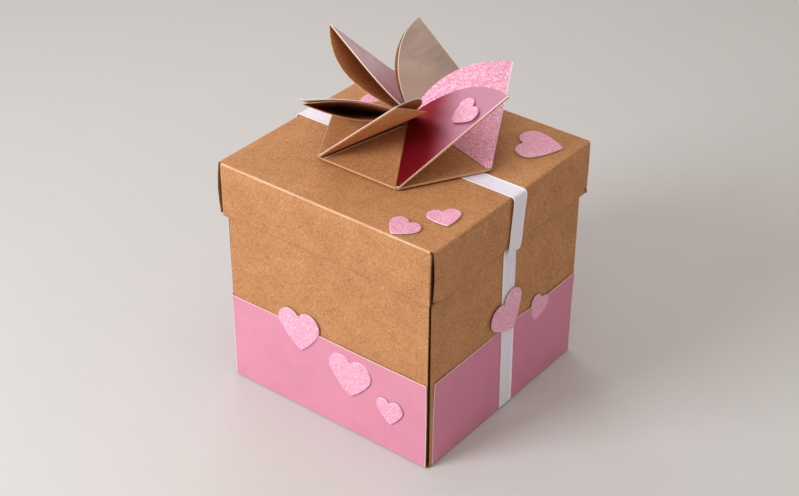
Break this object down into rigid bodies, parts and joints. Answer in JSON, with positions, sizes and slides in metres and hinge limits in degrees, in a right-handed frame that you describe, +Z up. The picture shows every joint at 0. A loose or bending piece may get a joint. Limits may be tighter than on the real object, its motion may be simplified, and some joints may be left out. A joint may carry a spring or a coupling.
{
  "type": "explosion gift box",
  "caption": "Square kraft card gift box whose walls fall open when its deep lid is lifted, with nested fold-open layers, a ribbon and a folded paper bloom on the lid.",
  "frame": {"origin": "bottom centre of the box, on the surface it stands on", "axes": "+Z up, +X along the ribbon to the right wall, -Y out of the front wall with the three hearts"},
  "size_m": [0.1256, 0.125, 0.1687],
  "materials": {
    "kraft_card": "matt brown kraft card with fine fibres",
    "pink_paper": "satin pink paper with a faint upright rib",
    "satin_ribbon": "white satin with woven edges",
    "glitter_card": "pink glitter card",
    "glitter_paper": "pink glitter paper",
    "gloss_paper": "glossy mauve pink paper",
    "foam": "white foam tape"
  },
  "bodies": {
    "box": {"base_box": "kraft_card", "middle_layer": "kraft_card", "inner_layer": "kraft_card", "band_front": "pink_paper", "band_right": "pink_paper", "band_back": "pink_paper", "band_left": "pink_paper", "wall_ribbon_right": "satin_ribbon", "wall_ribbon_left": "satin_ribbon", "heart_front_upper": "glitter_card", "heart_front_middle": "glitter_card", "heart_front_small": "glitter_card", "heart_on_ribbon": "glitter_card", "heart_right_small": "glitter_card"},
    "lid": {"lid": "kraft_card", "lid_ribbon": "satin_ribbon", "foam_strip_front": "foam", "foam_strip_back": "foam", "bloom": "kraft_card", "petal_lining_front_left": "gloss_paper", "petal_lining_front_right": "gloss_paper", "petal_lining_right": "glitter_paper", "petal_lining_back_right": "gloss_paper", "petal_lining_back_left": "gloss_paper", "petal_lining_left": "gloss_paper", "heart_lid_large": "glitter_card", "heart_lid_front": "glitter_card", "heart_lid_front_right": "glitter_card", "heart_lid_back": "glitter_card", "heart_petal": "glitter_card"}
  },
  "joints": [
    {"name": "lid_lift", "type": "slide", "parent": "box", "child": "lid", "axis": [0, 0, 1], "range_m": [0, 0.06]}
  ]
}
